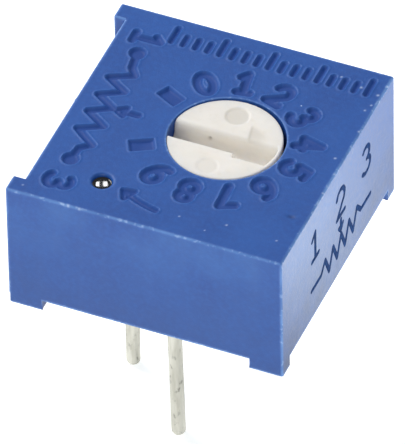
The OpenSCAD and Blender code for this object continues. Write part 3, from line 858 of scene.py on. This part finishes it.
# %% Assemble the housing
flecks = [(2.45, -3.72, 4.95, 0.03), (4.47, 0.45, 4.95, 0.035), (3.98, 3.86, 4.95, 0.04),
          (4.62, 3.72, 4.94, 0.04), (4.6, 3.2, 4.95, 0.03), (-2.58, -4.75, 4.93, 0.045),
          (-2.2, -4.75, 4.93, 0.04), (4.5, 2.9, 4.95, 0.03), (4.2, -3.8, 4.95, 0.025),
          (3.2, 4.1, 4.95, 0.03), (4.7, 1.9, 4.94, 0.035), (4.72, -1.2, 4.94, 0.03),
          (0.9, -3.9, 4.95, 0.025), (1.9, -4.2, 4.95, 0.02), (-4.3, -4.4, 4.95, 0.025)]
scuff_at, scuff_depth = (4.2, -2.6), 0.03


def edge_closeness(p):
    """1 on an outside edge, falling to 0 within 0.1 mm: exp(-(d/0.045)^2), where d is how far the
    second smallest distance to the faces that can meet there is from the rounding's own. The
    recess's inner corners don't wear. On the right side it is 1.3 times as much, a painted highlight
    where the rounding faces the bright glow. The rims of the two holes count for less and carry only
    a painted highlight: exp(-((r - rim)/0.03)^2), where r is the distance from the hole's middle."""
    x, y, z = p.T
    to_left = np.where(np.abs(y) < post_y, np.abs(x - recess_x), np.abs(x + half))
    in_slot = (x < recess_x + 0.02) & (np.abs(y) < post_y + edge_r)
    to_side = np.where(in_slot, np.abs(np.abs(y) - post_y), 9)
    low = np.where((np.abs(x) > foot_x) & (np.abs(y) > foot_y), 0, wall_z)
    faces = np.sort([np.minimum(np.abs(half - x), to_left), np.minimum(half - np.abs(y), to_side),
                     np.minimum(np.abs(top_z - z), np.abs(z - low))], axis=0)
    outside = np.exp(-(np.maximum(faces[1] - 0.02, 0) / 0.045) ** 2)
    in_corner = (np.abs(x - recess_x) < 0.2) & (np.abs(np.abs(y) - post_y) < 0.2)
    outside = np.where(in_corner & (z > wall_z + 0.05) & (z < top_z - 0.1), 0, outside)
    outside = outside * np.where(x > half - 0.15, 1.3, 1)       # painted highlight: the right side's rounding, which faces the bright glow, gets more
    rims = [share * np.exp(-((np.hypot(x - centre[0], y - centre[1]) - radius) / 0.03) ** 2)
            for share, centre, radius in ((0.7, opening, opening_r + 0.02),
                                          (0.2, vent, well_r + vent_lip - 0.02))]
    return np.maximum(outside, np.maximum(*rims) * (z > top_z - 0.03))


def with_tubes(points, faces, *tubes):
    """Adds grids of closed rings to a skin's points and faces, one after another. Also gives the
    number of each grid's first point."""
    starts = []
    for tube in tubes:
        starts.append(len(points))
        faces = faces + [grid_faces(*tube.shape[:2], True, len(points))]
        points = np.concatenate([points, tube.reshape(-1, 3)])
    return points, faces, starts


skin, skin_faces, (_, hole_first, vent_first) = with_tubes(top_points, [top_faces], rings, hole, well)
cavity_angle = np.arctan2(rings[-1, :, 1] - axis[1], rings[-1, :, 0] - axis[0])
skin_faces.append(zip_faces(cavity_angle, hole_angle, hole_first - rings.shape[1],
                            vent_first - hole.shape[1]))
engraved, lip = np.zeros((2, len(skin)))
engraved[:len(top_points)], lip[:len(top_points)] = top_sunk, top_lip
# painted shade: below the rim the walls of the holes get the marks' darker colour
engraved[hole_first:] = skin[hole_first:, 2] < top_z - 0.1      # the holes are as dark as the marks
scuff = np.exp(-np.hypot((skin[:, 0] - scuff_at[0]) / 0.12, (skin[:, 1] - scuff_at[1]) / 0.07) ** 2)
scuff = scuff * (skin[:, 2] > top_z - 0.05)
skin[:, 2] -= scuff_depth * scuff
# a fleck is a small round spot, exp(-(distance/size)^2)
speckled = np.max([np.exp(-((skin - [x, y, z]) ** 2).sum(1) / size ** 2)
                   for x, y, z, size in flecks], axis=0)
finish_piece("housing_moulding", skin, skin_faces, blue_moulding, "fixed_body", "blue_moulding",
             ["housing"], {"engraving": engraved, "lip": lip, "edge": edge_closeness(skin),
                           "fleck": speckled, "scuff": scuff}, 35)

# %% [markdown]
# ## The rotor
#
# The head is a disc with a screwdriver slot. The slot's near wall is steep; its far wall is soft
# and rounded; it runs out through the rim on the left, widens by a step towards the pointer and
# ends in a thin upright wall along the rim. Two ejector pins of the mould left shallow round
# marks, and beside the pointer there is a shallow wedge.
#
# The surface is a grid of rows and columns. Rows follow the slot's cross-section, a polyline that
# is walked at an even pace, so the steep walls get as many points as the flat land. Columns cut
# the disc's chord at each row evenly: x = u sqrt(R^2 - y^2) with u from -1 to 1.

# %% Rotor head
rim_r = 0.04                         # rounding of the head's rim
disc_r = head_r - rim_r              # the flat part of the head
cap_z = face_z + 0.02                # the face stands almost level with the housing
slot_near, slot_far = -0.50, 0.25    # the slot's walls, from the axis
slot_depth = 0.70
widen_at, widen_by = 0.50, 0.18      # where and how much the slot widens
end_r = 1.78                         # the slot's pointer end, from the axis


def slot_section(step):
    """The slot's cross-section as (y, depth share, share of the widening): land, near rounding,
    near wall with a little draft, floor, a wide fillet, and the far wall's soft upper edge."""
    bend, curve = np.linspace(0, np.pi / 2, 6)[1:], np.linspace(0, np.pi / 2, 11)
    near = [[-disc_r, 0], [slot_near - 0.04, 0]]
    near += [[slot_near - 0.04 + 0.04 * np.sin(t), 0.05 * (1 - np.cos(t))] for t in bend]
    near += [[slot_near + 0.02, 0.9]]
    near += [[slot_near + 0.02 + 0.07 * (1 - np.cos(t)), 0.9 + 0.1 * np.sin(t)] for t in bend]
    far = [[slot_far - 0.37 + 0.34 * np.sin(t), 1 - 0.5 * (1 - np.cos(t))] for t in curve]
    far += [[slot_far - 0.01 + 0.17 * (1 - np.cos(t)), 0.24 * (1 - np.sin(t))] for t in curve]
    turns = np.array(near + far + [[disc_r, 0]])
    gaps = np.hypot(np.diff(turns[:, 0]), slot_depth * np.diff(turns[:, 1]))
    walked = np.concatenate([[0], np.cumsum(gaps)])
    y, share = [np.interp(spaced(walked, step), walked, turns[:, k]) for k in (0, 1)]
    moved = smooth_step((y + disc_r) / (disc_r + slot_near)) * smooth_step((0.1 - y) / 0.45)
    return y, share, moved


def rotor_face(step=0.028):
    """Grid of the head's face in the rotor's own plane: x = u sqrt(R^2 - y^2), and the height is
    the face minus the slot's depth times the section's share, minus the shallow moulded marks.
    The depth falls to nothing at the end's radius. Also gives where the marks are, how deep the
    slot is as a share of its full depth, and where the pit is."""
    y_row, share, moved = [values[:, None] for values in slot_section(step)]
    u = np.linspace(-1, 1, int(2 * disc_r / step) | 1)
    x = np.sqrt(np.maximum(disc_r ** 2 - y_row ** 2, 0)) * u
    y = y_row - widen_by * smooth_step((x - widen_at + 0.02) / 0.05) * moved
    x = np.sqrt(np.maximum(disc_r ** 2 - y ** 2, 0)) * u
    end = np.where(x > 0, smooth_step((end_r - np.hypot(x, y)) / 0.06), 1)
    sunk = slot_depth * end * share
    mark = smooth_step((0.45 - np.hypot(x + 0.05, y - 1.17)) / 0.12)
    second = smooth_step((0.42 - np.hypot(x + 0.05, y + 1.35)) / 0.14)
    # the wedge is steep on its left side and fades out to the right
    wedge = smooth_step((x - 0.5 - 0.2 * (1 - y)) / 0.1) * smooth_step((1.5 - x) / 0.8)
    wedge = wedge * smooth_step((1.05 - 0.35 * (x - 0.5) - y) / 0.25)
    wedge = wedge * smooth_step(1 - share / 0.25) * smooth_step((y + 0.15) / 0.2)
    shallow = 0.035 * mark + 0.02 * second + 0.03 * wedge
    uneven = 0.006 * ripple(x, y, 1.1, 8) * (1 - 0.5 * share)
    pit = np.exp(-(((x + 0.62) / 0.06) ** 2 + ((sunk - 0.36) / 0.06) ** 2))
    pit = pit * (y > -0.2) * (share > 0.1)
    marked = np.maximum(np.maximum(mark, 1.4 * wedge), 0.3 * second)
    z = cap_z - sunk - shallow + uneven
    return np.stack([x, y + 0.08 * pit, z], -1), marked, sunk / slot_depth, pit


face, face_mark, face_depth, face_pit = rotor_face()
face[..., :2] += axis
rows, columns = face.shape[:2]
print("rotor face", rows, "by", columns)

# %% [markdown]
# The rim is the border of that grid: up the right column and down the left one. A profile carried
# round it rounds the rim, runs down the head, out over the flange, round the stop lug and in
# underneath. Where the slot is open the border dips, and the rim follows it down.

# %% Rotor rim, flange and lug
lug_half = 10                        # half the stop lug's angle, in degrees
flange_low = 2.83
under_r = 1.2                        # a ring part way across the level underside
border = np.concatenate([face[:, -1], face[::-1, 0]])
border_angle = np.arctan2(border[:, 1] - axis[1], border[:, 0] - axis[0])
lug = flange_r + (lug_r - flange_r) * (np.abs(border_angle) < np.radians(lug_half))
rim = lathe(axis, border_angle, rounded(head_r, border[:, 2], rim_r, -1) + [
    (head_r, np.minimum(4.6, border[:, 2] - rim_r - 0.01)), (head_r, 4.12), (head_r, seat_top),
    (head_r, flange_top), (seat_r, flange_top), (lug, flange_top), (lug, flange_low),
    (under_r, flange_low), (0, flange_low)])
rim[0] = border


def turned_solid(centre, profile, count):
    """A closed solid turned round an upright axis from (radius, height) pairs."""
    return lathe(centre, np.linspace(0, 2 * np.pi, count, endpoint=False), profile)


# two pegs under the flange hold the wiper, and their ends are melted into low domed heads
peg_profile = [(0, 2.9), (0.15, 2.9), (0.15, 2.73), (0.235, 2.725), (0.255, 2.70), (0.24, 2.66),
               (0.15, 2.63), (0, 2.625)]
pegs = [turned_solid(axis + np.array([0, s]), peg_profile, 32) for s in (-1.0, 1.0)]
rotor_points, rotor_faces, _ = with_tubes(face.reshape(-1, 3), [grid_faces(rows, columns)], rim, *pegs)
shades = np.zeros((3, len(rotor_points)))
shades[:, :face_mark.size] = face_mark.ravel(), face_depth.ravel() ** 2, 0.6 * face_pit.ravel()
finish_piece("rotor_moulding", rotor_points, rotor_faces, white_moulding, "rotor_body",
             "white_moulding", ["rotor"], dict(zip(("mark", "depth", "soil"), shades)), 50)

# %% [markdown]
# ## Pins
#
# Each pin is hot-dipped wire. It is turned from a profile: a blunt tip, a long straight shank, the
# shoulder that the resin holds, and the end that stands in the solder. The dip leaves the wire a
# hair out of round, with slow swells along it, so the radius varies by about one part in a
# hundred with height and angle. Fingers and trays have bent the long shanks a little, so each
# leans by up to 0.14 mm at its tip.

# %% Pins
shank_r, shoulder_r, shoulder_z = 0.24, 0.42, 0.60
tip_z = pin_low[2] - 0.1             # the tin that ran down hangs below the cut wire
lean = {1: (0.09, -0.11), 2: (-0.03, 0.03), 3: (0.09, 0.07)}    # of each tip, in millimetres


def pin_skin(number, centre):
    """Wire with a blunt tip: radius(z) from the profile, times 1 + 0.012 waves(z, angle), round
    a middle that moves by lean * (depth below the shoulder / length)^0.8."""
    tip = [(shank_r * np.sin(t) ** 0.8, tip_z + 0.2 * (1 - np.cos(t)))
           for t in np.linspace(0, np.pi / 2, 9)]
    shank = [(shank_r, z) for z in np.linspace(tip_z + 0.26, shoulder_z, 76)]
    shoulder = [(shoulder_r, shoulder_z), (shoulder_r, plate_low[2]), (shank_r, plate_low[2])]
    end = [(shank_r, pin_high[2] - 0.05), (shank_r - 0.04, pin_high[2]), (0, pin_high[2])]
    radius, height = np.array(tip + shank + shoulder + end).T[..., None]
    angle = np.linspace(0, 2 * np.pi, 48, endpoint=False)
    swell = 0.012 * ripple(height, 0.3 * np.sin(angle), 1.3, 20 + number)
    radius = radius * (1 + swell * ((height < 0.3) & (height > tip_z + 0.1)))
    below = np.clip((shoulder_z - height) / (shoulder_z - tip_z), 0, 1) ** 0.8
    return np.stack([centre[0] + lean[number][0] * below + radius * np.cos(angle),
                     centre[1] + lean[number][1] * below + radius * np.sin(angle),
                     np.repeat(height, len(angle), 1)], -1)


for number, centre in pins.items():
    skin = pin_skin(number, centre)
    finish_piece(f"terminal_wire_{number}", skin.reshape(-1, 3), [grid_faces(*skin.shape[:2], True)],
                 tinned_wire, "fixed_body", "tinned_wire", [f"terminal_pin_{number}"])

# %% [markdown]
# ## Potting resin
#
# Liquid epoxy is poured in from below and finds its own level, so its surface is flat except
# where it climbs the walls and the pins, in a fillet that dies away like exp(-distance/length).
# In the vent hole it stands as a column almost up to the top, hardly dished, as glossy as glass.
# The slab is one height grid closed by its sides and its upper face; the column is turned.

# %% Resin
climb_wall, fillet_wall = 0.10, 0.12      # how far it climbs, and over what length
climb_pin, fillet_pin = 0.13, 0.10
column_r = well_r - 0.002
brim_z = top_z - vent_lip - 0.01     # the crater's rounding ends just above it
bowl, creep = 0.006, 0.02            # the drop's depth, and how far it climbs the wall


def resin_skin(step=0.05):
    """Underside z = level - climb exp(-d/length), summed over the nearest wall and each pin at
    distance d, over the same grid folded up to the flat face under the ceramic."""
    lines = [spaced(np.array([resin_low[k], resin_high[k]]), step) for k in (0, 1)]
    x, y = np.meshgrid(*lines, indexing="ij")
    wall = np.minimum(np.minimum(x - resin_low[0], resin_high[0] - x),
                      np.minimum(y - resin_low[1], resin_high[1] - y))
    z = resin_low[2] - climb_wall * np.exp(-wall / fillet_wall) + 0.01 * ripple(x, y, 2.6, 31)
    for centre in pins.values():
        gap = np.maximum(np.hypot(x - centre[0], y - centre[1]) - shank_r, 0)
        z = z - climb_pin * np.exp(-gap / fillet_pin)
    points = np.stack([np.stack([x, y, z], -1), np.stack([x, y, np.full(x.shape, plate_low[2])], -1)])
    m, n = x.shape
    index = np.arange(m * n).reshape(m, n)
    around = np.concatenate([index[:, 0], index[-1, 1:], index[-2::-1, -1], index[0, -2:0:-1]])
    sides = np.stack([around, np.roll(around, -1), np.roll(around, -1) + m * n, around + m * n], -1)
    return points.reshape(-1, 3), [grid_faces(m, n), grid_faces(m, n, False, m * n), sides]


dish = [(column_r * t, brim_z - bowl * (1 - t ** 2) - creep * (1 - np.exp((t - 1) / 0.06)))
        for t in np.linspace(1, 0, 31)]
column = turned_solid(vent, [(0, 1.7), (column_r, 1.7), (column_r, 3.0), (column_r, 4.6)] + dish, 48)
finish_piece("potting_resin_body", *with_tubes(*resin_skin(), column)[:2], black_resin,
             "fixed_body", "black_resin", ["potting_resin"])

# %% [markdown]
# ## Print on the right side
#
# A rubber stamp leaves ink about a hundredth of a millimetre thick, with soft shoulders. The print
# is generic: the three terminal numbers, and a resistor symbol with an arrow for the wiper. Each
# stroke is real geometry: the cells of a fine grid that lie inside the strokes are kept, and the
# points on their border are pulled onto the exact outline, p - e grad e, where e is the signed
# distance to it. Edges that belong to a single cell are the border, and a skirt hangs from them.

# %% Ink
ink_step, ink_half, ink_t = 0.024, 0.098, 0.012      # grid, half a stroke's width, thickness
side_lines = [line for digit, y in ((1, -2.0), (2, 0.18), (3, 2.36))
              for line in placed(digit, np.array([y, 3.38]), 90, 1.1, 0.66)]
teeth = np.column_stack([np.linspace(-1.5, 1.86, 11), [1.62] + [2.0, 1.24] * 4 + [2.0, 1.62]])
side_lines += [np.concatenate([[[-2.3, 1.62]], teeth, [[2.66, 1.62]]]),
               np.array([[0.18, 2.62], [0.18, 2.22]]),
               np.array([[0.02, 2.36], [0.18, 2.16], [0.34, 2.36]])]


def ink_skin():
    """Cells of a grid on the side wall that lie within the strokes, as two sheets joined by a
    skirt: the outer one rises by the ink's thickness within 0.05 mm of the outline."""
    y, z = np.meshgrid(np.arange(-2.5, 2.9, ink_step), np.arange(1.0, 4.2, ink_step), indexing="ij")
    mid_y, mid_z = (y[1:, 1:] + y[:-1, 1:]) / 2, (z[1:, 1:] + z[1:, :-1]) / 2
    keep = stroke_distance(mid_y, mid_z, side_lines) < ink_half
    cells = grid_faces(*y.shape)[keep.ravel()]
    border = cell_border(keep)
    y, z = y.ravel(), z.ravel()
    e = stroke_distance(y, z, side_lines) - ink_half
    tiny = 1e-4
    slope = [(stroke_distance(y + dy, z + dz, side_lines) - ink_half - e) / tiny
             for dy, dz in ((tiny, 0), (0, tiny))]
    y, z = y - border * e * slope[0], z - border * e * slope[1]
    rise = np.where(border, 0, smooth_step(-e / 0.05) * (1 + 0.2 * ripple(y, z, 0.4, 41)))
    outer = np.column_stack([half - 0.001 + ink_t * rise, y, z])
    inside = np.column_stack([np.full(len(y), half - 0.006), y, z])
    edges = np.concatenate([cells[:, [k, (k + 1) % 4]] for k in range(4)])
    first, uses = np.unique(np.sort(edges, 1), axis=0, return_index=True, return_counts=True)[1:]
    rim = edges[first[uses == 1]]
    skirt = np.column_stack([rim, rim[:, ::-1] + len(outer)])
    return np.concatenate([outer, inside]), [cells, cells + len(outer), skirt]


finish_piece("side_print", *ink_skin(), navy_ink, "fixed_body", None, [], crease=60)

# %% [markdown]
# ## Floor, light and air
#
# The part stands on a white light table, so pale light also reaches its sides from below. The
# table shines most behind the part on the right, and a wall of the part that is seen at a
# glancing angle mirrors that glow and turns pale. Above it the room is even and soft. One large
# softbox stands back on the left and gives the marks their shading, one fills from the front, a
# weak one stands behind, and two strip lights side by side make the twin highlights in the drop
# of resin.

# %% Floor
room_light = 0.42
table_light = 0.6
table_mm = 2000                      # from the table's middle to its edges
glows = [((14.6, 7.2), 8.2, 6.2), ((15.0, 14.8), 8.0, 2.3)]   # place, radius, strength of each bright patch


def make_floor():
    """A white sheet that shines by itself: an even, slightly cool light plus each glow, which is
    cooler still and falls smoothly from its middle to nothing at its radius."""
    m, coords, (patch,), _ = new_material("white_light_table", [(4.0, 2)])
    shine = table_light
    for (x, y), radius, strength in glows:
        away = add_node(m, "VectorMath", {0: coords, 1: (x * MM, y * MM, tip_z * MM)}, "Value",
                        operation="DISTANCE")
        glow = add_node(m, "MapRange", {0: away, 2: radius * MM, 3: strength, 4: 0.0},
                        interpolation_type="SMOOTHSTEP")
        shine = add_node(m, "Math", {0: shine, 1: glow}, operation="ADD")
    cool = add_node(m, "MapRange", {0: shine, 1: table_light, 2: table_light + 1})
    hue = add_node(m, "Mix", {0: cool, 6: (0.96, 1, 1, 1), 7: (0.88, 1, 1, 1)}, **MIX)
    surface = add_node(m, "BsdfPrincipled", {
        "Base Color": layered(m, "#F2F2F2", [("#F8F8F8", patch, 1.0)]), "Roughness": 0.9,
        "Emission Color": hue, "Emission Strength": shine})
    add_node(m, "OutputMaterial", {"Surface": surface})
    return m


floor_mesh = bpy.data.meshes.new("light_table")
table_corners = [[x * table_mm * MM, y * table_mm * MM, tip_z * MM]
                 for x, y in ((-1, -1), (1, -1), (1, 1), (-1, 1))]
floor_mesh.from_pydata(table_corners, [], [(0, 1, 2, 3)])
floor_mesh.materials.append(make_floor())
floor = add_object("light_table", floor_mesh)
print("table at", tip_z.round(2), "mm, with", len(glows), "glows")

# %% Air and lights
world = bpy.data.worlds.new("soft_room")
world.use_nodes = True
world.node_tree.nodes["Background"].inputs["Color"].default_value = (1, 1, 1, 1)
world.node_tree.nodes["Background"].inputs["Strength"].default_value = room_light
bpy.context.scene.world = world
bpy.context.scene.view_settings.view_transform = "Standard"


def softbox(name, place_mm, size_mm, radiance, aim_mm=(0, 0, 4)):
    """A rectangular area light that faces the part; its power is radiance x area x pi."""
    wide, tall = np.array(size_mm) * MM
    light = bpy.data.lights.new(name, "AREA")
    light.shape, light.size, light.size_y = "RECTANGLE", wide, tall
    light.energy = radiance * np.pi * wide * tall
    away = np.array(place_mm, float) - aim_mm
    away /= np.linalg.norm(away)
    side = np.cross([0, 0, 1], away)
    side /= np.linalg.norm(side)
    axes = np.array([side, np.cross(away, side), away])
    add_object(name, light).matrix_world = placed_matrix(axes, place_mm)


softbox("key_softbox", (-160, 60, 160), (120, 120), 8.0)
softbox("back_softbox", (60, 260, 90), (120, 120), 0.8)
softbox("front_softbox", (40, -210, 118), (140, 140), 1.95)
# the strips stand where a level drop of resin mirrors them into the lens
drop = np.array([*vent, brim_z])
mirrored = back * [-1, -1, 1]
across = np.cross([0, 0, 1], mirrored) / np.linalg.norm(mirrored[:2])
for name, aside in (("strip_left", 5.0), ("strip_right", -3.0)):
    softbox(name, drop + 190 * mirrored + aside * across, (3.9, 10), 26, drop)
